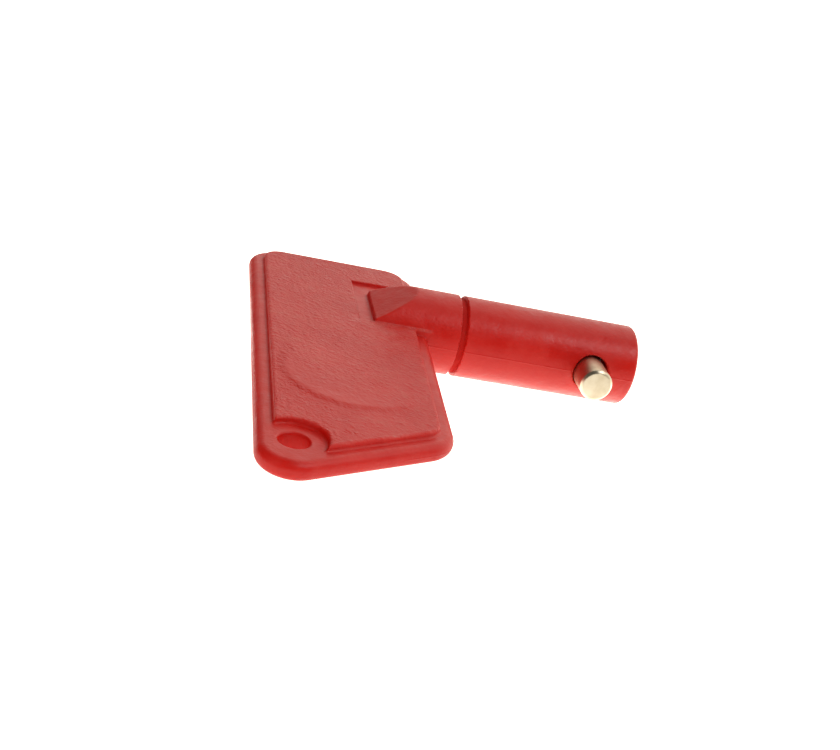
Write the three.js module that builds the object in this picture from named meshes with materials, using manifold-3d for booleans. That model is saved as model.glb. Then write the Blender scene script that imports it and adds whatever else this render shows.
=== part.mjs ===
// Removable key of a battery isolator switch: a moulded red lever with a round shank,
// and the brass cross pin that locks it in the switch's keyway.
//
// Millimetres, +Z up.  The origin is the centre of the shank's end face and +X points out of
// that face.  The long wing of the lever is on the -Y side.  The key lies as it does on a
// table: the whole key is turned about the shank until the long wing's lower face and the
// underside of the shank touch the same level plane.
import * as THREE from "three";
import { mergeVertices } from "three/addons/utils/BufferGeometryUtils.js";
import Module from "manifold-3d";

const wasm = await Module();
wasm.setup();

// ---- driving dimensions ----------------------------------------------------------------
const keyLength = 48; // outer edge of the lever to the shank's end face
const shankRadius = 5;
const shankEndRound = 0.5;

const grooveFromTip = 22.5; // middle of the groove round the shank
const grooveWidth = 0.8;
const grooveDepth = 0.5;

const pinRadius = 2;
const pinLength = 17.2;
const pinChamfer = 0.3;
const pinFromTip = 5.85;
const pinClearance = 0.3; // radial room between the pin and its hole

const leverDepth = 21.4; // lever's extent along the shank, at the shank's axis
const longWing = 43.9; // shank axis to the sharp outer corner of the long wing
const shortWing = 16.2; // shank axis to the far edge of the short wing
const longWingSlant = THREE.MathUtils.degToRad(30); // long wing's end against the shank
const innerEdgeLean = THREE.MathUtils.degToRad(1.6); // inner edge against square: the long wing is narrower
const rimThickness = 2.1;
const edgeRound = 1.0; // radius of the rim's rounded edge
const rimWidth = 1.75; // outline to the raised panel
const panelThickness = 3.5;
const panelChamfer = 0.15;
const cornerRound = 4.2;
const innerCornerRound = 4.7; // inner corner of the long wing
const outerCornerRound = 3.6; // outer corner of the long wing, by the ring hole

const ringHoleRadius = 1.55;
const ringHoleFromOuterEdge = 3.65; // hole's centre to the outer edge
const ringHoleFromWingEnd = 4.5; // and to the slanted edge
const ringClearRadius = 3.3; // the panel stops at this radius round the ring hole

const neckOnLever = 6.85; // how far the round neck runs onto the lever
const facetStartHeight = 2.05; // height of the neck's flat facet where the neck ends
const facetAngle = THREE.MathUtils.degToRad(30);
const reliefDepth = 0.38; // shallow pocket in the panel round the neck
const reliefAhead = 1.85; // pocket's reach beyond the end of the neck
const reliefShortSide = 8.2; // pocket's reach from the axis towards the short wing
const reliefLongSide = 4.5; // and towards the long wing

// ---- places worked out from them ---------------------------------------------------------
const outerEdgeX = -keyLength;
const innerEdgeX = outerEdgeX + leverDepth;
const neckEndX = innerEdgeX - neckOnLever;
const roundSides = 48;

// ---- booleans ----------------------------------------------------------------------------
function solid(geometry) {
  const bare = geometry.clone();
  bare.deleteAttribute("normal");
  bare.deleteAttribute("uv");
  const merged = mergeVertices(bare, 1e-4);
  const vertProperties = new Float32Array(merged.attributes.position.array);
  const triVerts = new Uint32Array(merged.index.array);
  return new wasm.Manifold(new wasm.Mesh({ numProp: 3, vertProperties, triVerts }));
}

function geometryOf(manifold) {
  const mesh = manifold.getMesh();
  const geometry = new THREE.BufferGeometry();
  geometry.setAttribute("position", new THREE.BufferAttribute(new Float32Array(mesh.vertProperties), 3));
  geometry.setIndex(new THREE.BufferAttribute(new Uint32Array(mesh.triVerts), 1));
  geometry.computeVertexNormals();
  return geometry;
}

// ---- the lever's outline -----------------------------------------------------------------
// Where the line through a, along u, meets the line through b, along v.
function crossing(a, u, b, v) {
  const t = ((b.x - a.x) * v.y - (b.y - a.y) * v.x) / (u.x * v.y - u.y * v.x);
  return new THREE.Vector2(a.x + u.x * t, a.y + u.y * t);
}

// The four sharp corners, counter-clockwise from the short wing's inner corner, with every
// edge moved inwards by inset.
function leverCorners(inset) {
  const endOfWing = new THREE.Vector2(outerEdgeX, -longWing).addScaledVector(slantOutwards, -inset);
  const lean = new THREE.Vector2(-Math.sin(innerEdgeLean), -Math.cos(innerEdgeLean));
  const inwards = new THREE.Vector2(lean.y, -lean.x);
  const innerEdge = new THREE.Vector2(innerEdgeX, 0).addScaledVector(inwards, inset);
  const along = new THREE.Vector2(1, 0);
  const across = new THREE.Vector2(0, 1);
  const farEdge = new THREE.Vector2(0, shortWing - inset);
  const outerEdge = new THREE.Vector2(outerEdgeX + inset, 0);
  return [
    crossing(innerEdge, lean, farEdge, along),
    crossing(outerEdge, across, farEdge, along),
    crossing(outerEdge, across, endOfWing, slantDirection),
    crossing(innerEdge, lean, endOfWing, slantDirection),
  ];
}

// Centre of a circle of the given radius that touches both edges at a corner.
function cornerCentre(before, corner, after, radius) {
  const toBefore = before.clone().sub(corner).normalize();
  const toAfter = after.clone().sub(corner).normalize();
  const halfAngle = Math.acos(THREE.MathUtils.clamp(toBefore.dot(toAfter), -1, 1)) / 2;
  const bisector = toBefore.clone().add(toAfter).normalize();
  return corner.clone().addScaledVector(bisector, radius / Math.sin(halfAngle));
}

// A closed shape with each corner rounded to its own radius.
function roundedShape(corners, radii) {
  const shape = new THREE.Shape();
  corners.forEach((corner, i) => {
    const before = corners[(i + corners.length - 1) % corners.length];
    const after = corners[(i + 1) % corners.length];
    const centre = cornerCentre(before, corner, after, radii[i]);
    const edgeIn = corner.clone().sub(before);
    const edgeOut = after.clone().sub(corner);
    const start = edgeIn.angle() - Math.PI / 2;
    const end = edgeOut.angle() - Math.PI / 2;
    shape.absarc(centre.x, centre.y, radii[i], start, end, false);
  });
  shape.closePath();
  return shape;
}

function leverShape(inset) {
  const radii = [cornerRound, cornerRound, outerCornerRound, innerCornerRound];
  return roundedShape(leverCorners(inset), radii.map((radius) => radius - inset));
}

const slantDirection = new THREE.Vector2(Math.cos(longWingSlant), Math.sin(longWingSlant));
const slantOutwards = new THREE.Vector2(slantDirection.y, -slantDirection.x);

function findRingHole() {
  const outerLine = new THREE.Vector2(outerEdgeX + ringHoleFromOuterEdge, 0);
  const endLine = new THREE.Vector2(outerEdgeX, -longWing);
  endLine.addScaledVector(slantOutwards, -ringHoleFromWingEnd);
  return crossing(outerLine, new THREE.Vector2(0, 1), endLine, slantDirection);
}

const ringHoleCentre = findRingHole();

// ---- the lever ---------------------------------------------------------------------------
// A slab centred on the shank's level, with its edges rounded or chamfered by size.
function slab(inset, thickness, size, segments) {
  const geometry = new THREE.ExtrudeGeometry(leverShape(inset + size), {
    depth: thickness - 2 * size,
    bevelThickness: size,
    bevelSize: size,
    bevelSegments: segments,
    curveSegments: 9,
  });
  geometry.translate(0, 0, -thickness / 2 + size);
  return solid(geometry);
}

function ringHoleCylinder(radius) {
  const geometry = new THREE.CylinderGeometry(radius, radius, 4 * panelThickness, roundSides);
  geometry.rotateX(Math.PI / 2);
  geometry.translate(ringHoleCentre.x, ringHoleCentre.y, 0);
  return solid(geometry);
}

function reliefPocket(side) {
  const length = reliefAhead + neckOnLever;
  const width = reliefShortSide + reliefLongSide;
  const geometry = new THREE.BoxGeometry(length, width, 2 * reliefDepth);
  geometry.translate(
    neckEndX - reliefAhead + length / 2,
    (reliefShortSide - reliefLongSide) / 2,
    (side * panelThickness) / 2,
  );
  return solid(geometry);
}

function lever() {
  const rim = slab(0, rimThickness, edgeRound, 4);
  const panel = slab(rimWidth, panelThickness, panelChamfer, 1)
    .subtract(ringHoleCylinder(ringClearRadius))
    .subtract(reliefPocket(1))
    .subtract(reliefPocket(-1));
  return rim.add(panel).subtract(ringHoleCylinder(ringHoleRadius));
}

// ---- the shank and its neck --------------------------------------------------------------
function shankProfile() {
  const groove = keyLength - grooveFromTip + outerEdgeX; // x of the groove's middle
  const points = [new THREE.Vector2(0, neckEndX), new THREE.Vector2(shankRadius, neckEndX)];
  points.push(new THREE.Vector2(shankRadius, groove - grooveWidth / 2));
  points.push(new THREE.Vector2(shankRadius - grooveDepth, groove - grooveWidth / 2 + 0.1));
  points.push(new THREE.Vector2(shankRadius - grooveDepth, groove + grooveWidth / 2 - 0.1));
  points.push(new THREE.Vector2(shankRadius, groove + grooveWidth / 2));
  const roundSteps = 4;
  for (let i = 0; i <= roundSteps; i += 1) {
    const angle = (i / roundSteps) * (Math.PI / 2);
    points.push(
      new THREE.Vector2(
        shankRadius - shankEndRound + shankEndRound * Math.cos(angle),
        -shankEndRound + shankEndRound * Math.sin(angle),
      ),
    );
  }
  points.push(new THREE.Vector2(0, 0));
  return points;
}

function roundShank() {
  const geometry = new THREE.LatheGeometry(shankProfile(), roundSides);
  geometry.rotateZ(-Math.PI / 2);
  return solid(geometry);
}

// What lies above the neck's upper facet, or below its lower one.
function facetCutter(side) {
  const size = 6 * shankRadius;
  const geometry = new THREE.BoxGeometry(size, size, size);
  geometry.translate(0, 0, size / 2);
  geometry.rotateY(-facetAngle);
  geometry.translate(neckEndX, 0, facetStartHeight);
  const cutter = solid(geometry);
  return side > 0 ? cutter : cutter.rotate([180, 0, 0]);
}

function pinHole() {
  const radius = pinRadius + pinClearance;
  const geometry = new THREE.CylinderGeometry(radius, radius, 4 * shankRadius, roundSides);
  geometry.translate(-pinFromTip, 0, 0);
  return solid(geometry);
}

function shank() {
  return roundShank().subtract(facetCutter(1)).subtract(facetCutter(-1)).subtract(pinHole());
}

// ---- the cross pin -----------------------------------------------------------------------
function crossPinGeometry() {
  const half = pinLength / 2;
  return new THREE.LatheGeometry(
    [
      new THREE.Vector2(0, -half),
      new THREE.Vector2(pinRadius - pinChamfer, -half),
      new THREE.Vector2(pinRadius, -half + pinChamfer),
      new THREE.Vector2(pinRadius, half - pinChamfer),
      new THREE.Vector2(pinRadius - pinChamfer, half),
      new THREE.Vector2(0, half),
    ],
    roundSides,
  );
}

// ---- how the key lies --------------------------------------------------------------------
// The long wing rests on the point of its panel that is furthest from the shank: where the
// panel's slanted edge meets the clearing round the ring hole.
function furthestPanelPoint() {
  const holeToEdge = ringHoleFromWingEnd - rimWidth;
  const alongEdge = Math.sqrt(ringClearRadius ** 2 - holeToEdge ** 2);
  return ringHoleCentre
    .clone()
    .addScaledVector(slantOutwards, holeToEdge)
    .addScaledVector(slantDirection, alongEdge);
}

function lyingAngle() {
  const reach = -furthestPanelPoint().y;
  const drop = panelThickness / 2;
  return Math.asin(shankRadius / Math.hypot(reach, drop)) - Math.atan2(drop, reach);
}

// ---- the assembly ------------------------------------------------------------------------
const redPlastic = new THREE.MeshStandardMaterial({ color: 0xb8322b, roughness: 0.5, metalness: 0 });
const brass = new THREE.MeshStandardMaterial({ color: 0xd9bf86, roughness: 0.3, metalness: 1 });

const keyBody = new THREE.Mesh(geometryOf(lever().add(shank())), redPlastic);
keyBody.name = "key_body";

const crossPin = new THREE.Mesh(crossPinGeometry(), brass);
crossPin.name = "cross_pin";
crossPin.position.x = -pinFromTip;

const key = new THREE.Group();
key.add(keyBody, crossPin);
key.rotation.x = lyingAngle();

export default key;
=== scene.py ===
import math

import bpy
import numpy as np
from mathutils import Matrix, Vector


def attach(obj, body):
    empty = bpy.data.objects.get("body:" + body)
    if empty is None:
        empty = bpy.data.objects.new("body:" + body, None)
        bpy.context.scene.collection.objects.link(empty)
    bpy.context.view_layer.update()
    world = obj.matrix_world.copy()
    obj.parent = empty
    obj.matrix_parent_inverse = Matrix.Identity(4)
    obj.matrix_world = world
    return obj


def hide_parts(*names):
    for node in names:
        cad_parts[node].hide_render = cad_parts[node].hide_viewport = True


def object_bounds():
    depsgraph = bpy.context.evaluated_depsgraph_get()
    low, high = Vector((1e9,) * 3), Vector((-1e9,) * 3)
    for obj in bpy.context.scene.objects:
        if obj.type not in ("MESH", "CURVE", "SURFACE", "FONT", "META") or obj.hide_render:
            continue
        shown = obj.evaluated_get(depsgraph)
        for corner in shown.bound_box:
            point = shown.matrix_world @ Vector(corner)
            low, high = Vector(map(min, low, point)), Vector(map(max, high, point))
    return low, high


MM = 0.001

# ---- the moulding -----------------------------------------------------------------------
LENGTH = 48.0
SHANK_RADIUS = 5.0
SHANK_END_ROUND = 0.45
SHANK_DRAFT = 0.1
GROOVE_X = -22.5
GROOVE_WIDTH = 0.8
GROOVE_DEPTH = 0.5

LEVER_DEPTH = 21.4
LONG_WING = 43.9
SHORT_WING = 16.2
WING_SLANT = math.radians(30)
INNER_LEAN = math.radians(1.6)
RIM_HALF = 1.05
RIM_ROUND = 1.0
RIM_WIDTH = 1.75
PANEL_HALF = 1.75
PANEL_ROUND = 0.3
STEP_FILLET = 0.28
FAR_CORNER_ROUND = 4.2
INNER_CORNER_ROUND = 4.7
OUTER_CORNER_ROUND = 3.6

RING_HOLE_RADIUS = 1.55
RING_FROM_OUTER_EDGE = 3.65
RING_FROM_WING_END = 4.5
RING_CLEAR_RADIUS = 3.3
RING_MOUTH_ROUND = 0.25

NECK_END_X = -LENGTH + LEVER_DEPTH - 6.85
FACET_START = 2.05
FACET_ANGLE = math.radians(30)
RELIEF_DEPTH = 0.38
RELIEF_RAMP = 0.15
RELIEF_AHEAD = 1.85
RELIEF_SHORT_SIDE = 8.2
RELIEF_LONG_SIDE = 4.5

PAD_CENTRE = (-37.55, -21.2)
PAD_RADIUS = 7.7
PAD_HEIGHT = 0.2
PAD_EDGE = 1.1
PAD_FADE_START = 0.45
PAD_FADE_ACROSS = 0.45
PAD_FADE_ALONG = 0.9

# Small roundings where faces of the moulding meet.
PANEL_OUTLINE_ROUND = 0.2
RELIEF_FLOOR_ROUND = 0.12
RELIEF_EDGE_ROUND = 0.1
NECK_EDGE_ROUND = 0.12
GROOVE_FLOOR_ROUND = 0.1
GROOVE_EDGE_ROUND = 0.08
NECK_FILLET = 0.15

# ---- the cross pin ----------------------------------------------------------------------
PIN_X = -5.95
PIN_HOLE_X = -5.75
PIN_RADIUS = 2.0
PIN_LENGTH = 17.2
PIN_CHAMFER = 0.28
PIN_HOLE_RADIUS = 2.22
PIN_HOLE_ROUND = 0.3
PIN_END_ROUND = 0.02
PIN_CHAMFER_ROUND = 0.05

LYING_ANGLE = math.radians(4.907)
MESH_STEP = 0.208
PIN_MESH_STEP = 0.12
PIN_MESH_MARGIN = 0.5

# ---- the colours and where they change ----------------------------------------------------
RED = (0.61, 0.0065, 0.0025, 1)
RED_FADED = (0.67, 0.010, 0.004, 1)
# Pale bloom colour, which also paints a whitish sheen on the plastic.
BLOOM_AND_SHEEN_COLOUR = (0.72, 0.58, 0.52, 1)
# The next two values paint shade into the bottom of the ring groove.
GROOVE_SHADE_COLOUR = (0.2, 0.002, 0.001, 1)
GROOVE_SHADE_AMOUNT = 0.1
BRASS_CLEAN = (0.68, 0.60, 0.46, 1)
BRASS_TARNISHED = (0.57, 0.48, 0.34, 1)
PANEL_BOTTOM = (1.5, 1.68)
PANEL_TOP = (1.85, 1.95)
PANEL_END_X = (-26.8, -26.2)
PARTING_LINE_HALF = 0.13
# Where the painted shade in the ring groove sits: its half width and its radius about the shank.
GROOVE_SHADE_HALF_WIDTH = (0.36, 0.44)
GROOVE_SHADE_RADIUS = (4.6, 4.9)

# ---- the floor, the background and the lamps, in metres and watts -------------------------
# The floor and the background give a different amount of light to each kind of ray: one to
# the camera, one to reflections and one to everything else.
FLOOR_HALF = 3.0
FLOOR_COLOUR = (0.6, 0.6, 0.6, 1)
FLOOR_GLOW = 0.84
FLOOR_SHINE = 0.85
FLOOR_WHITE = 1.6
STRIP_SHINE = 3.5
STRIP_RISE = (-0.018, -0.002)
STRIP_FALL = (0.006, 0.018)
FRONT_GLOW = 0.08
BACK_GLOW = 1.6
GLOW_RANGE = (0.25, 0.95)
SOFT_LIGHT = 0.6
LIGHT_COLOUR = (1.0, 0.96, 0.86, 1.0)
WHITE = (1, 1, 1, 1)
SKY_HEIGHT = math.radians(20)
SKY_TURN = math.radians(37)

LAMP_TARGET = (-0.028, -0.012, 0)
OVERHEAD_PLACE = (0.05, 0.20, 0.45)
OVERHEAD_SIZE = (0.35, 0.25)
OVERHEAD_POWER = 0.1
FRONT_TOP_PLACE = (0.17, -0.20, 0.33)
FRONT_TOP_SIZE = (0.14, 0.10)
FRONT_TOP_POWER = 0.4
FRONT_FILL_PLACE = (-0.20, -0.18, 0.15)
FRONT_FILL_SIZE = (0.30, 0.20)
FRONT_FILL_POWER = 0.27

# ---- the camera ---------------------------------------------------------------------------
CAMERA_TARGET = (-29.67, -17.66, 0.0)
CAMERA_DISTANCE = 136.8
CAMERA_HEADING = math.radians(13.18)
CAMERA_DOWNWARD = math.radians(17.95)
CAMERA_ROLL = math.radians(13.69)
CAMERA_LENS = 53.57
CAMERA_NEAR = 0.005
SENSOR_WIDTH = 36.0


# ---- distances ---------------------------------------------------------------------------
# Each function takes arrays of points and gives a distance in millimetres: negative inside
# the shape and positive outside it.
def joined(a, b, fillet):
    """Two shapes in one, with a round fillet where they meet."""
    over_a = np.maximum(fillet - a, 0)
    over_b = np.maximum(fillet - b, 0)
    return np.maximum(fillet, np.minimum(a, b)) - np.hypot(over_a, over_b)


def shared(a, b, rounding):
    """What two shapes share, with its edge rounded."""
    over_a = np.maximum(rounding + a, 0)
    over_b = np.maximum(rounding + b, 0)
    return np.minimum(-rounding, np.maximum(a, b)) + np.hypot(over_a, over_b)


def cut(a, b, rounding):
    """Shape a without shape b, with the cut's edge rounded."""
    return shared(a, -b, rounding)


def crossing(point_a, along_a, point_b, along_b):
    """Where two lines of the lever's plane meet."""
    steps = np.linalg.solve(np.column_stack([along_a, -along_b]), point_b - point_a)
    return point_a + steps[0] * along_a


def lever_lines():
    """A point and a direction for each edge of the lever, counter-clockwise."""
    inner_x = -LENGTH + LEVER_DEPTH
    inner = (np.array([inner_x, 0.0]), np.array([math.sin(INNER_LEAN), math.cos(INNER_LEAN)]))
    far = (np.array([0.0, SHORT_WING]), np.array([-1.0, 0.0]))
    outer = (np.array([-LENGTH, 0.0]), np.array([0.0, -1.0]))
    end = (np.array([-LENGTH, -LONG_WING]), np.array([math.cos(WING_SLANT), math.sin(WING_SLANT)]))
    return [inner, far, outer, end]


CORNER_ROUNDS = [FAR_CORNER_ROUND, FAR_CORNER_ROUND, OUTER_CORNER_ROUND, INNER_CORNER_ROUND]


def lever_outline(x, y):
    """Distance to the lever's outline in its plane."""
    lines = lever_lines()
    distance = np.full(x.shape, -1e3, x.dtype)
    for point, along in lines:
        away = (x - point[0]) * along[1] - (y - point[1]) * along[0]
        distance = np.maximum(distance, away)
    for i in range(4):
        point_in, along_in = lines[i]
        point_out, along_out = lines[(i + 1) % 4]
        radius = CORNER_ROUNDS[i]
        moved_in = point_in - radius * np.array([along_in[1], -along_in[0]])
        moved_out = point_out - radius * np.array([along_out[1], -along_out[0]])
        centre = crossing(moved_in, along_in, moved_out, along_out)
        dx = x - centre[0]
        dy = y - centre[1]
        past_in = dx * along_in[0] + dy * along_in[1] > 0
        before_out = dx * along_out[0] + dy * along_out[1] < 0
        distance = np.where(past_in & before_out, np.hypot(dx, dy) - radius, distance)
    return distance


def ring_hole_centre():
    point, along = lever_lines()[3]
    outwards = np.array([along[1], -along[0]])
    moved = point - RING_FROM_WING_END * outwards
    down = np.array([0.0, 1.0])
    return crossing(np.array([-LENGTH + RING_FROM_OUTER_EDGE, 0.0]), down, moved, along)


def relief(x, y, z):
    """The shallow pocket in each face of the panel, round the neck's end, with a sloping start."""
    start = NECK_END_X - RELIEF_AHEAD
    middle = (RELIEF_SHORT_SIDE - RELIEF_LONG_SIDE) / 2
    half_width = (RELIEF_SHORT_SIDE + RELIEF_LONG_SIDE) / 2
    depth = RELIEF_DEPTH * np.clip((x - start) / RELIEF_RAMP, -1, 1)
    sides = np.abs(y - middle) - half_width
    return shared(sides, PANEL_HALF - depth - np.abs(z), RELIEF_FLOOR_ROUND)


def raised_pad(x, y):
    """Height of the low round pad on the panel: it fades out on the side away from the wing's end."""
    across = x - PAD_CENTRE[0]
    along = y - PAD_CENTRE[1]
    inwards = PAD_RADIUS - np.hypot(across, along)
    rise = np.clip(0.5 + inwards / PAD_EDGE, 0, 1)
    away = (PAD_FADE_ACROSS * across + PAD_FADE_ALONG * along) / (2 * PAD_RADIUS)
    tilt = np.clip(PAD_FADE_START - away, 0, 1)
    return PAD_HEIGHT * tilt * rise * rise * (3 - 2 * rise)


def lever(x, y, z):
    outline = lever_outline(x, y)
    level = np.abs(z)
    rim = shared(outline, level - RIM_HALF, RIM_ROUND)
    ring_x, ring_y = ring_hole_centre()
    ring = np.hypot(x - ring_x, y - ring_y)
    panel_outline = shared(outline + RIM_WIDTH, RING_CLEAR_RADIUS - ring, PANEL_OUTLINE_ROUND)
    panel = shared(panel_outline, level - PANEL_HALF - raised_pad(x, y), PANEL_ROUND)
    panel = cut(panel, relief(x, y, z), RELIEF_EDGE_ROUND)
    whole = joined(rim, panel, STEP_FILLET)
    return cut(whole, ring - RING_HOLE_RADIUS, RING_MOUTH_ROUND)


def shank(x, y, z):
    radius = np.hypot(y, np.abs(z) + SHANK_DRAFT) - SHANK_DRAFT
    body = shared(radius - SHANK_RADIUS, x, SHANK_END_ROUND)
    body = shared(body, NECK_END_X - x, NECK_EDGE_ROUND)
    across = np.abs(x - GROOVE_X) - GROOVE_WIDTH / 2
    groove = shared(across, SHANK_RADIUS - GROOVE_DEPTH - radius, GROOVE_FLOOR_ROUND)
    body = cut(body, groove, GROOVE_EDGE_ROUND)
    above = (np.abs(z) - FACET_START) * math.cos(FACET_ANGLE)
    above = above - (x - NECK_END_X) * math.sin(FACET_ANGLE)
    return shared(body, above, NECK_EDGE_ROUND)


def moulding(x, y, z):
    whole = joined(lever(x, y, z), shank(x, y, z), NECK_FILLET)
    pin_hole = np.hypot(x - PIN_HOLE_X, z) - PIN_HOLE_RADIUS
    return cut(whole, pin_hole, PIN_HOLE_ROUND)


# ---- from distances to a mesh --------------------------------------------------------------
CUBE = [(i, j, k) for i in (0, 1) for j in (0, 1) for k in (0, 1)]


def sampled_grid(shape, low, high, step):
    """The shape's distance on a regular grid of points, worked out one layer at a time."""
    counts = np.ceil((np.array(high) - np.array(low)) / step).astype(int) + 1
    axes = [low[i] + step * np.arange(counts[i], dtype=np.float32) for i in range(3)]
    x, y = np.meshgrid(axes[0], axes[1], indexing="ij")
    grid = np.empty(tuple(counts), np.float32)
    for k, z in enumerate(axes[2]):
        grid[:, :, k] = shape(x, y, np.full_like(x, z))
    return grid


def surface_cells(grid):
    """The grid's cells that the surface passes through."""
    inside = grid < 0
    size = [n - 1 for n in grid.shape]
    count = np.zeros(size, np.int8)
    for i, j, k in CUBE:
        count += inside[i : i + size[0], j : j + size[1], k : k + size[2]]
    return np.argwhere((count > 0) & (count < 8))


def cell_points(grid, cells):
    """One point for each cell: the mean of where the surface crosses the cell's edges."""
    total = np.zeros((len(cells), 3))
    crossings = np.zeros(len(cells))
    for corner in CUBE:
        for axis in range(3):
            if corner[axis] == 1:
                continue
            start = cells + np.array(corner)
            end = start.copy()
            end[:, axis] += 1
            a = grid[tuple(start.T)]
            b = grid[tuple(end.T)]
            hit = (a < 0) != (b < 0)
            place = np.array([corner] * len(cells), float)
            place[:, axis] += np.where(hit, a / np.where(hit, a - b, 1), 0)
            total += place * hit[:, None]
            crossings += hit
    return cells + total / crossings[:, None]


def cell_faces(grid, cells):
    """A quad for each grid edge that the surface crosses, facing outwards."""
    number = np.full(grid.shape, -1, np.int64)
    number[tuple(cells.T)] = np.arange(len(cells))
    inside = grid < 0
    quads = []
    for axis in range(3):
        side, up = [(1, 2), (2, 0), (0, 1)][axis]
        near = np.take(inside, range(grid.shape[axis] - 1), axis)
        far = np.take(inside, range(1, grid.shape[axis]), axis)
        edges = np.argwhere(near != far)
        leaving = near[tuple(edges.T)]
        ring = []
        for back_side, back_up in ((1, 1), (0, 1), (0, 0), (1, 0)):
            cell = edges.copy()
            cell[:, side] -= back_side
            cell[:, up] -= back_up
            ring.append(number[tuple(cell.T)])
        quad = np.stack(ring, 1)
        quad[~leaving] = quad[~leaving][:, ::-1]
        quads.append(quad)
    return np.concatenate(quads)


def slope(shape, points, reach=0.004):
    """The outward direction of steepest change at each point."""
    columns = []
    for axis in range(3):
        ahead = points.copy()
        behind = points.copy()
        ahead[:, axis] += reach
        behind[:, axis] -= reach
        columns.append((shape(*ahead.T) - shape(*behind.T)) / (2 * reach))
    return np.stack(columns, 1)


def settled(shape, points, step):
    """The points moved onto the surface itself."""
    start = points.copy()
    for _ in range(4):
        gradient = slope(shape, points)
        steepness = np.maximum((gradient**2).sum(1), 0.05)
        points = points - (shape(*points.T) / steepness)[:, None] * gradient
        points = start + np.clip(points - start, -0.6 * step, 0.6 * step)
    return points


def lying(points):
    """Points or directions of the key's own frame, turned as the key lies on the floor."""
    turn = np.array(Matrix.Rotation(LYING_ANGLE, 3, "X"))
    return points @ turn.T


def mesh_of(name, shape, low, high, step):
    grid = sampled_grid(shape, low, high, step)
    cells = surface_cells(grid)
    points = np.array(low) + step * cell_points(grid, cells)
    points = settled(shape, points, step)
    faces = cell_faces(grid, cells)
    mesh = bpy.data.meshes.new(name)
    mesh.vertices.add(len(points))
    mesh.vertices.foreach_set("co", (lying(points) * MM).astype(np.float32).ravel())
    mesh.loops.add(faces.size)
    mesh.loops.foreach_set("vertex_index", faces.astype(np.int32).ravel())
    mesh.polygons.add(len(faces))
    mesh.polygons.foreach_set("loop_start", np.arange(0, faces.size, 4, dtype=np.int32))
    mesh.polygons.foreach_set("loop_total", np.full(len(faces), 4, np.int32))
    mesh.update(calc_edges=True)
    mesh.validate()
    mesh.polygons.foreach_set("use_smooth", np.ones(len(mesh.polygons), bool))
    normals = slope(shape, points)
    normals /= np.linalg.norm(normals, axis=1)[:, None]
    mesh.normals_split_custom_set_from_vertices(lying(normals).tolist())
    return mesh


def placed(name, mesh, node):
    """A new piece that stands for the CAD node and rides on the body."""
    piece = bpy.data.objects.new(name, mesh)
    bpy.context.scene.collection.objects.link(piece)
    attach(piece, "root")
    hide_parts(node)
    return piece


# ---- shader helpers ------------------------------------------------------------------------
class Nodes:
    """Short calls for building one material's nodes."""

    def __init__(self, name):
        self.material = bpy.data.materials.new(name)
        self.material.use_nodes = True
        self.tree = self.material.node_tree
        self.tree.nodes.clear()

    def add(self, kind, **inputs):
        node = self.tree.nodes.new(kind)
        for key, value in inputs.items():
            self.feed([node.inputs[key.replace("_", " ")]], [value])
        return node

    def place(self):
        """Coordinates along the key's own axes, in metres."""
        coordinates = self.add("ShaderNodeTexCoord").outputs["Object"]
        turn = self.tree.nodes.new("ShaderNodeMapping")
        turn.inputs["Rotation"].default_value = (-LYING_ANGLE, 0, 0)
        self.link(coordinates, turn.inputs["Vector"])
        return turn.outputs["Vector"]

    def link(self, output, socket):
        self.tree.links.new(output, socket)

    def feed(self, sockets, values):
        """Each value goes into its socket: another node's output is linked, a number is set."""
        for socket, value in zip(sockets, values):
            if isinstance(value, bpy.types.NodeSocket):
                self.link(value, socket)
            else:
                socket.default_value = value

    def math(self, operation, *values):
        node = self.tree.nodes.new("ShaderNodeMath")
        node.operation = operation
        self.feed(node.inputs, values)
        return node.outputs[0]

    def noise(self, vector, scale, detail=3.0, roughness=0.55):
        node = self.add("ShaderNodeTexNoise", Scale=scale, Detail=detail, Roughness=roughness)
        self.link(vector, node.inputs["Vector"])
        return node.outputs["Fac"]

    def remap(self, value, low, high, to_low, to_high):
        node = self.tree.nodes.new("ShaderNodeMapRange")
        node.clamp = True
        ends = {"From Min": low, "From Max": high, "To Min": to_low, "To Max": to_high}
        for key, number in ends.items():
            node.inputs[key].default_value = number
        self.link(value, node.inputs["Value"])
        return node.outputs["Result"]

    def mix_value(self, factor, low, high):
        node = self.tree.nodes.new("ShaderNodeMix")
        self.feed([node.inputs[i] for i in (0, 2, 3)], (factor, low, high))
        return node.outputs[0]

    def mix(self, factor, colour_a, colour_b):
        node = self.tree.nodes.new("ShaderNodeMix")
        node.data_type = "RGBA"
        self.feed([node.inputs[i] for i in (0, 6, 7)], (factor, colour_a, colour_b))
        return node.outputs[2]


def fade(n, value, ends, start, finish):
    """From start to finish as the value, in metres, crosses the two ends, in millimetres."""
    return n.remap(value, ends[0] * MM, ends[1] * MM, start, finish)


def panel_mask(n, place):
    """1 on the lever's two panel faces and 0 elsewhere."""
    axes = n.add("ShaderNodeSeparateXYZ", Vector=place)
    height = n.math("ABSOLUTE", axes.outputs["Z"])
    above_rim = fade(n, height, PANEL_BOTTOM, 0, 1)
    below_neck = fade(n, height, PANEL_TOP, 1, 0)
    on_lever = fade(n, axes.outputs["X"], PANEL_END_X, 1, 0)
    return n.math("MULTIPLY", n.math("MULTIPLY", above_rim, below_neck), on_lever)


def stretched(n, place, scale):
    mapping = n.add("ShaderNodeMapping", Vector=place)
    mapping.inputs["Scale"].default_value = scale
    return mapping.outputs["Vector"]


def turned(n, place, angle):
    """The same coordinates, turned about the key's z axis."""
    mapping = n.add("ShaderNodeMapping", Vector=place)
    mapping.inputs["Rotation"].default_value = (0, 0, angle)
    return mapping.outputs["Vector"]


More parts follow.
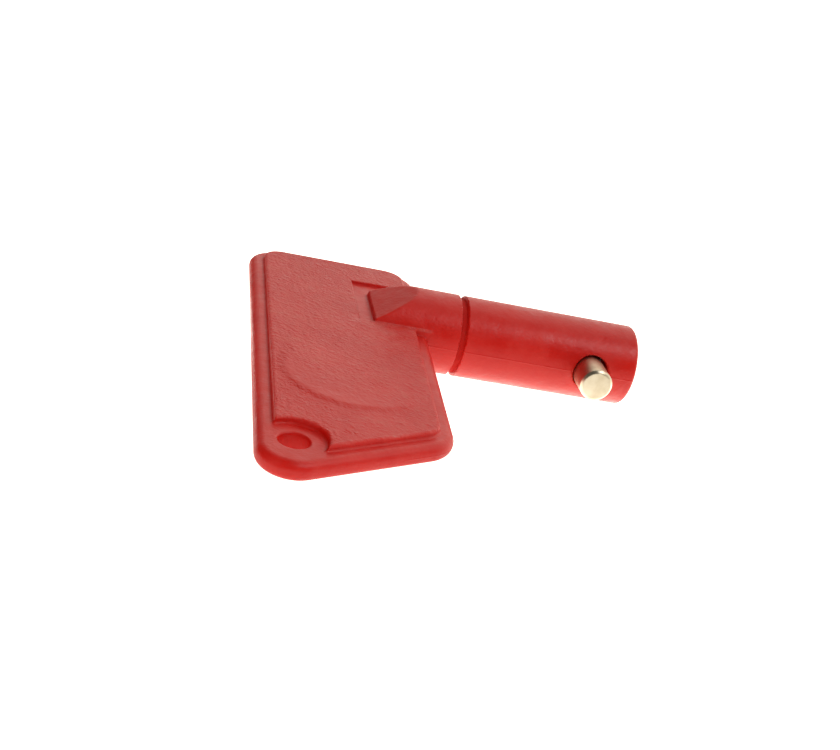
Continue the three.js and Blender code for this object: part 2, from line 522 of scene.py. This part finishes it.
def parting_line(n, place):
    """A fine raised line along the shank and neck, where the two halves of the mould met."""
    axes = n.add("ShaderNodeSeparateXYZ", Vector=place)
    line = fade(n, n.math("ABSOLUTE", axes.outputs["Z"]), (0, PARTING_LINE_HALF), 1, 0)
    on_shank = fade(n, axes.outputs["X"], (NECK_END_X, NECK_END_X + 1), 0, 1)
    return n.math("MULTIPLY", line, on_shank)


def groove_shade_mask(n, place):
    """1 at the bottom of the ring groove and 0 outside it: where shade is painted in and the plastic is
    made duller.
    """
    axes = n.add("ShaderNodeSeparateXYZ", Vector=place)
    from_middle = n.math("ABSOLUTE", n.math("SUBTRACT", axes.outputs["X"], GROOVE_X * MM))
    within = fade(n, from_middle, GROOVE_SHADE_HALF_WIDTH, 1, 0)
    across = n.math("POWER", axes.outputs["Y"], 2.0)
    upwards = n.math("POWER", axes.outputs["Z"], 2.0)
    radius = n.math("SQRT", n.math("ADD", across, upwards))
    return n.math("MULTIPLY", within, fade(n, radius, GROOVE_SHADE_RADIUS, 1, 0))


def red_plastic():
    """Red moulded plastic: leathery panels, satin elsewhere, pale cloudy bloom with painted sheen,
    painted shade in the groove.
    """
    n = Nodes("red_plastic")
    place = n.place()
    on_panel = panel_mask(n, place)
    slanting = stretched(n, turned(n, place, math.radians(45)), (0.75, 1.0, 1.0))
    wrinkles = n.noise(slanting, 1500.0, 4.0, 0.6)
    creases = n.math("ABSOLUTE", n.math("SUBTRACT", n.noise(slanting, 1150.0, 3.0, 0.6), 0.5))
    pebbles = n.noise(place, 3600.0, 2.0, 0.5)
    mottle = n.noise(place, 750.0, 3.0, 0.6)
    patches = n.noise(place, 300.0, 4.0, 0.65)
    clouds = n.noise(place, 150.0, 3.0, 0.5)

    leather = n.math("ADD", wrinkles, n.math("MULTIPLY", creases, 3.0))
    satin = n.math("ADD", n.math("MULTIPLY", mottle, 0.7), n.math("MULTIPLY", pebbles, 0.2))
    line = n.math("MULTIPLY", parting_line(n, place), 0.3)
    height = n.mix_value(on_panel, satin, leather)
    bump = n.add("ShaderNodeBump", Strength=1.0, Distance=0.0001)
    n.link(n.math("ADD", height, line), bump.inputs["Height"])

    colour = n.mix(n.remap(clouds, 0.35, 0.65, 0, 1), RED, RED_FADED)
    # Pale cloudy patches, strongest on the panels: partly bloom, partly painted sheen.
    bloom_and_sheen = n.math("MULTIPLY", n.remap(patches, 0.36, 0.7, 0.0, 0.12), n.mix_value(on_panel, 0.15, 1.0))
    bloom_and_sheen = n.math("MULTIPLY", bloom_and_sheen, n.remap(mottle, 0.3, 0.7, 0.3, 1.4))
    bloom_and_sheen = n.math("MULTIPLY", bloom_and_sheen, n.remap(clouds, 0.3, 0.7, 0.6, 1.3))
    colour = n.mix(bloom_and_sheen, colour, BLOOM_AND_SHEEN_COLOUR)
    # Painted shade: the bottom of the ring groove is darkened and made duller.
    groove_shade = groove_shade_mask(n, place)
    colour = n.mix(n.math("MULTIPLY", groove_shade, GROOVE_SHADE_AMOUNT), colour, GROOVE_SHADE_COLOUR)
    satin_dullness = n.remap(patches, 0.3, 0.7, 0.36, 0.46)
    leather_dullness = n.remap(patches, 0.3, 0.7, 0.40, 0.54)
    dullness = n.mix_value(on_panel, satin_dullness, leather_dullness)
    dullness = n.math("ADD", dullness, n.remap(mottle, 0.3, 0.7, -0.06, 0.06))
    dullness = n.mix_value(groove_shade, dullness, 0.85)

    surface = n.add(
        "ShaderNodeBsdfPrincipled",
        IOR=1.42,
        Subsurface_Weight=0.3,
        Subsurface_Scale=0.001,
    )
    n.link(colour, surface.inputs["Base Color"])
    n.link(dullness, surface.inputs["Roughness"])
    n.link(bump.outputs["Normal"], surface.inputs["Normal"])
    out = n.add("ShaderNodeOutputMaterial")
    n.link(surface.outputs["BSDF"], out.inputs["Surface"])
    return n.material


def brass():
    """Turned brass with fine marks round the pin and light tarnish."""
    n = Nodes("turned_brass")
    place = n.place()
    tarnish = n.noise(place, 600.0, 3.0)
    turning = n.noise(stretched(n, place, (0.2, 6.0, 0.2)), 1500.0, 2.0)
    colour = n.mix(n.remap(tarnish, 0.35, 0.7, 0, 1), BRASS_CLEAN, BRASS_TARNISHED)
    bump = n.add("ShaderNodeBump", Strength=0.25, Distance=0.00002)
    n.link(turning, bump.inputs["Height"])
    surface = n.add("ShaderNodeBsdfPrincipled", Metallic=1.0)
    n.link(colour, surface.inputs["Base Color"])
    n.link(n.remap(tarnish, 0.3, 0.7, 0.28, 0.42), surface.inputs["Roughness"])
    n.link(bump.outputs["Normal"], surface.inputs["Normal"])
    out = n.add("ShaderNodeOutputMaterial")
    n.link(surface.outputs["BSDF"], out.inputs["Surface"])
    return n.material


# ---- the pieces ------------------------------------------------------------------------------
def make_key_body():
    margin = 3 * MESH_STEP
    low = (-LENGTH - margin, -LONG_WING - margin, -SHANK_RADIUS - margin)
    high = (margin, SHORT_WING + margin, SHANK_RADIUS + margin)
    mesh = mesh_of("key_body_mesh", moulding, low, high, MESH_STEP)
    mesh.materials.append(red_plastic())
    return placed("red_key_moulding", mesh, "key_body")


def cross_pin(x, y, z):
    radius = np.hypot(x - PIN_X, z) - PIN_RADIUS
    end = np.abs(y) - PIN_LENGTH / 2
    chamfer = (radius + end + PIN_CHAMFER) / math.sqrt(2)
    return shared(shared(radius, end, PIN_END_ROUND), chamfer, PIN_CHAMFER_ROUND)


def make_cross_pin():
    reach = PIN_RADIUS + PIN_MESH_MARGIN
    half_length = PIN_LENGTH / 2 + PIN_MESH_MARGIN
    low = (PIN_X - reach, -half_length, -reach)
    high = (PIN_X + reach, half_length, reach)
    mesh = mesh_of("cross_pin_mesh", cross_pin, low, high, PIN_MESH_STEP)
    mesh.materials.append(brass())
    return placed("brass_cross_pin", mesh, "cross_pin")


# ---- floor, light and camera -------------------------------------------------------------------
def floor_material():
    """White that also gives off light: one amount to the camera, one to reflections, one to the rest.

    Reflections see a brighter strip as well, across the camera's heading and under the shank.
    """
    n = Nodes("white_floor")
    diffuse = n.add("ShaderNodeBsdfDiffuse", Color=FLOOR_COLOUR)
    glow = n.add("ShaderNodeEmission", Color=LIGHT_COLOUR)
    backwards = n.add("ShaderNodeVectorMath")
    backwards.operation = "DOT_PRODUCT"
    backwards.inputs[1].default_value = (math.sin(CAMERA_HEADING), math.cos(CAMERA_HEADING), 0)
    n.link(n.add("ShaderNodeTexCoord").outputs["Object"], backwards.inputs[0])
    in_front = n.remap(backwards.outputs["Value"], *STRIP_RISE, 0, 1)
    behind = n.remap(backwards.outputs["Value"], *STRIP_FALL, 1, 0)
    shine = n.mix_value(n.math("MULTIPLY", in_front, behind), FLOOR_SHINE, STRIP_SHINE)
    ray = n.add("ShaderNodeLightPath").outputs
    strength = n.mix_value(ray["Is Glossy Ray"], FLOOR_GLOW, shine)
    strength = n.mix_value(ray["Is Camera Ray"], strength, FLOOR_WHITE)
    n.link(strength, glow.inputs["Strength"])
    both = n.add("ShaderNodeAddShader")
    n.link(diffuse.outputs[0], both.inputs[0])
    n.link(glow.outputs[0], both.inputs[1])
    out = n.add("ShaderNodeOutputMaterial")
    n.link(both.outputs[0], out.inputs["Surface"])
    return n.material


def make_floor(level):
    """A flat white floor at the key's lowest point."""
    half = FLOOR_HALF
    mesh = bpy.data.meshes.new("floor_mesh")
    corners = [(-half, -half, level), (half, -half, level), (half, half, level), (-half, half, level)]
    mesh.from_pydata(corners, [], [(0, 1, 2, 3)])
    mesh.materials.append(floor_material())
    floor = bpy.data.objects.new("floor", mesh)
    bpy.context.scene.collection.objects.link(floor)


def make_world():
    """A background that is plain white to the camera.

    To the key it is bright on the far side and dim on the side that the camera looks from, and
    dimmer again for light that the key scatters.
    """
    world = bpy.data.worlds.new("studio")
    bpy.context.scene.world = world
    world.use_nodes = True
    tree = world.node_tree
    background = tree.nodes["Background"]
    direction = tree.nodes.new("ShaderNodeTexCoord")
    back = tree.nodes.new("ShaderNodeVectorMath")
    back.operation = "DOT_PRODUCT"
    level = math.cos(SKY_HEIGHT)
    back.inputs[1].default_value = (
        math.sin(CAMERA_HEADING + SKY_TURN) * level,
        math.cos(CAMERA_HEADING + SKY_TURN) * level,
        math.sin(SKY_HEIGHT),
    )
    tree.links.new(direction.outputs["Generated"], back.inputs[0])
    ramp = tree.nodes.new("ShaderNodeMapRange")
    ramp.interpolation_type = "SMOOTHSTEP"
    ramp.inputs["From Min"].default_value = GLOW_RANGE[0]
    ramp.inputs["From Max"].default_value = GLOW_RANGE[1]
    ramp.inputs["To Min"].default_value = FRONT_GLOW
    ramp.inputs["To Max"].default_value = BACK_GLOW
    tree.links.new(back.outputs["Value"], ramp.inputs["Value"])
    ray = tree.nodes.new("ShaderNodeLightPath")
    dimmer = tree.nodes.new("ShaderNodeMath")
    dimmer.operation = "MULTIPLY_ADD"
    tree.links.new(ray.outputs["Is Diffuse Ray"], dimmer.inputs[0])
    dimmer.inputs[1].default_value = SOFT_LIGHT - 1
    dimmer.inputs[2].default_value = 1
    dimmed = tree.nodes.new("ShaderNodeMath")
    dimmed.operation = "MULTIPLY"
    tree.links.new(dimmer.outputs[0], dimmed.inputs[0])
    tree.links.new(ramp.outputs["Result"], dimmed.inputs[1])
    at_least_white = tree.nodes.new("ShaderNodeMath")
    at_least_white.operation = "MAXIMUM"
    tree.links.new(dimmed.outputs[0], at_least_white.inputs[0])
    tree.links.new(ray.outputs["Is Camera Ray"], at_least_white.inputs[1])
    tree.links.new(at_least_white.outputs[0], background.inputs["Strength"])
    tint = tree.nodes.new("ShaderNodeMix")
    tint.data_type = "RGBA"
    tree.links.new(ray.outputs["Is Camera Ray"], tint.inputs[0])
    tint.inputs[6].default_value = LIGHT_COLOUR
    tint.inputs[7].default_value = WHITE
    tree.links.new(tint.outputs[2], background.inputs["Color"])


def make_area_light(name, place, size, power):
    data = bpy.data.lights.new(name, "AREA")
    data.shape = "RECTANGLE"
    data.size = size[0]
    data.size_y = size[1]
    data.energy = power
    light = bpy.data.objects.new(name, data)
    light.location = place
    towards = Vector(LAMP_TARGET) - Vector(place)
    light.rotation_euler = towards.to_track_quat("-Z", "Y").to_euler()
    bpy.context.scene.collection.objects.link(light)
    return light


def make_lights():
    """Three lamps.  The low front one is hidden from reflections."""
    make_area_light("overhead", OVERHEAD_PLACE, OVERHEAD_SIZE, OVERHEAD_POWER)
    make_area_light("front_top", FRONT_TOP_PLACE, FRONT_TOP_SIZE, FRONT_TOP_POWER)
    fill = make_area_light("front_fill", FRONT_FILL_PLACE, FRONT_FILL_SIZE, FRONT_FILL_POWER)
    fill.visible_glossy = False


def make_camera():
    data = bpy.data.cameras.new("camera")
    data.sensor_fit = "HORIZONTAL"
    data.sensor_width = SENSOR_WIDTH
    data.lens = CAMERA_LENS
    data.clip_start = CAMERA_NEAR
    camera = bpy.data.objects.new("camera", data)
    level = math.cos(CAMERA_DOWNWARD)
    sideways = math.sin(CAMERA_HEADING) * level
    ahead = math.cos(CAMERA_HEADING) * level
    forward = Vector((sideways, ahead, -math.sin(CAMERA_DOWNWARD)))
    aim = forward.to_track_quat("-Z", "Y").to_matrix().to_4x4()
    roll = Matrix.Rotation(CAMERA_ROLL, 4, "Z")
    place = Vector(CAMERA_TARGET) * MM - forward * CAMERA_DISTANCE * MM
    camera.matrix_world = Matrix.Translation(place) @ aim @ roll
    bpy.context.scene.collection.objects.link(camera)
    bpy.context.scene.camera = camera


def as_numbers(box):
    return [[float(value) for value in corner] for corner in box]


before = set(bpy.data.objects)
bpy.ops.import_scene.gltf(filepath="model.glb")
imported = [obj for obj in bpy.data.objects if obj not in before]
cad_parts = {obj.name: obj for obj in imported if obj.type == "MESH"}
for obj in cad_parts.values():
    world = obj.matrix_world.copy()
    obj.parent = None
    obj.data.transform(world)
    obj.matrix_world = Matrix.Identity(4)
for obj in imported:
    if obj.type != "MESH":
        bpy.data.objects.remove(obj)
cad_bounds = as_numbers(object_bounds())
make_key_body()
make_cross_pin()
make_floor(cad_bounds[0][2])
make_world()
make_lights()
bpy.context.scene.view_settings.view_transform = "Standard"
make_camera()
